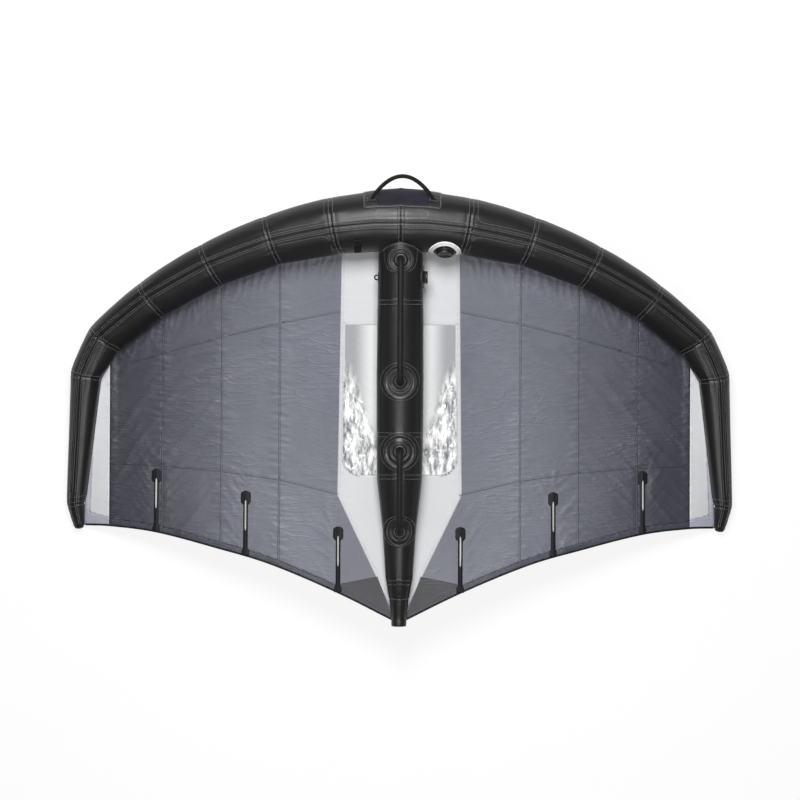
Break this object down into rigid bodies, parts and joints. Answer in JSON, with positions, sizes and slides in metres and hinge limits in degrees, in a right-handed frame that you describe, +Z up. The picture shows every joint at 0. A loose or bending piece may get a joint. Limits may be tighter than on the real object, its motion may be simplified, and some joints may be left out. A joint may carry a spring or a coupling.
{
  "type": "inflatable foil wing",
  "caption": "Inflatable hand-held foil wing: arched leading-edge tube, centre strut with padded handles, cambered canopy with windows and battens.",
  "frame": {"origin": "on the floor, under the middle of the object's box, with the wing lying on its two tips and its handles up", "axes": "+Y towards the nose, +X towards one tip, +Z up, to the side that the handles are on"},
  "size_m": [2.8002, 1.8666, 0.5042],
  "materials": {
    "tube_cloth": "matte",
    "bladder_film": "satin",
    "canopy_cloth": "satin",
    "white_cloth": "satin",
    "window_film": "gloss",
    "tip_cloth": "satin",
    "gore_cloth": "satin",
    "edge_cloth": "satin",
    "batten_pocket": "matte",
    "pad_cloth": "matte",
    "grip_foam": "matte",
    "webbing": "matte",
    "valve_moulding": "satin",
    "valve_ring_film": "satin"
  },
  "bodies": {
    "wing": {"leading_edge_sleeve_1_left": "tube_cloth", "leading_edge_sleeve_2_left": "tube_cloth", "leading_edge_sleeve_3_left": "tube_cloth", "leading_edge_sleeve_4_left": "tube_cloth", "leading_edge_sleeve_5_left": "tube_cloth", "leading_edge_sleeve_6_left": "tube_cloth", "leading_edge_sleeve_7_left": "tube_cloth", "leading_edge_sleeve_8_left": "tube_cloth", "leading_edge_sleeve_1_right": "tube_cloth", "leading_edge_sleeve_2_right": "tube_cloth", "leading_edge_sleeve_3_right": "tube_cloth", "leading_edge_sleeve_4_right": "tube_cloth", "leading_edge_sleeve_5_right": "tube_cloth", "leading_edge_sleeve_6_right": "tube_cloth", "leading_edge_sleeve_7_right": "tube_cloth", "leading_edge_sleeve_8_right": "tube_cloth", "strut_sleeve_front": "tube_cloth", "strut_sleeve_middle": "tube_cloth", "strut_sleeve_rear": "tube_cloth", "strut_sleeve_tail": "tube_cloth", "strut_end_cap": "tube_cloth", "leading_edge_bladder": "bladder_film", "strut_bladder": "bladder_film", "canopy_inner_left": "canopy_cloth", "canopy_middle_left": "canopy_cloth", "canopy_outer_left": "canopy_cloth", "white_panel_left": "white_cloth", "window_left": "window_film", "tip_strip_left": "tip_cloth", "tip_gore_left": "gore_cloth", "trailing_edge_band_left": "edge_cloth", "batten_1_left": "batten_pocket", "batten_2_left": "batten_pocket", "batten_3_left": "batten_pocket", "canopy_inner_right": "canopy_cloth", "canopy_middle_right": "canopy_cloth", "canopy_outer_right": "canopy_cloth", "white_panel_right": "white_cloth", "window_right": "window_film", "tip_strip_right": "tip_cloth", "tip_gore_right": "gore_cloth", "trailing_edge_band_right": "edge_cloth", "batten_1_right": "batten_pocket", "batten_2_right": "batten_pocket", "batten_3_right": "batten_pocket", "handle_base_1": "valve_moulding", "handle_base_2": "valve_moulding", "handle_base_3": "valve_moulding", "handle_base_4": "valve_moulding", "nose_handle_pad": "pad_cloth", "valve_surround_ring": "valve_ring_film", "inflation_valve_body": "valve_moulding", "strut_valve_body": "valve_moulding"},
    "front_grip": {"front_handle_grip": "grip_foam"},
    "rear_grip": {"rear_handle_grip": "grip_foam"},
    "nose_loop": {"nose_handle": "webbing"},
    "inflation_cap": {"inflation_valve_cap": "valve_moulding"},
    "strut_cap": {"strut_valve_cap": "valve_moulding"},
    "tab": {"leading_edge_tab": "webbing"},
    "side_loop": {"strut_side_loop": "webbing"}
  },
  "joints": [
    {"name": "front_grip_tilt", "type": "hinge", "parent": "wing", "child": "front_grip", "pos_m": [0, 0.58205, 0.42266], "axis": [0, -1, 0.0088], "range_deg": [-35, 35], "stiffness_Nm_per_rad": 6},
    {"name": "rear_grip_tilt", "type": "hinge", "parent": "wing", "child": "rear_grip", "pos_m": [0, -0.20665, 0.42526], "axis": [0, -0.9928, -0.1201], "range_deg": [-35, 35], "stiffness_Nm_per_rad": 5},
    {"name": "nose_handle_swing", "type": "hinge", "parent": "wing", "child": "nose_loop", "pos_m": [0.006, 0.84136, 0.39521], "axis": [1, 0, 0], "range_deg": [-45, 45], "stiffness_Nm_per_rad": 3},
    {"name": "inflation_cap_hinge", "type": "hinge", "parent": "wing", "child": "inflation_cap", "pos_m": [0.17823, 0.59955, 0.29766], "axis": [0.9954, -0.0638, -0.0714], "range_deg": [0, 110]},
    {"name": "strut_cap_hinge", "type": "hinge", "parent": "wing", "child": "strut_cap", "pos_m": [0.1027, 0.5138, 0.27], "axis": [-0.0121, 0.9999, 0], "range_deg": [0, 110]},
    {"name": "tab_hinge", "type": "hinge", "parent": "wing", "child": "tab", "pos_m": [-0.1775, 0.667, 0.3931], "axis": [-1, 0, 0], "range_deg": [0, 60]},
    {"name": "side_loop_hinge", "type": "hinge", "parent": "wing", "child": "side_loop", "pos_m": [-0.0962, 0.5127, 0.3], "axis": [0, 1, 0], "range_deg": [-50, 50], "stiffness_Nm_per_rad": 0.02}
  ]
}
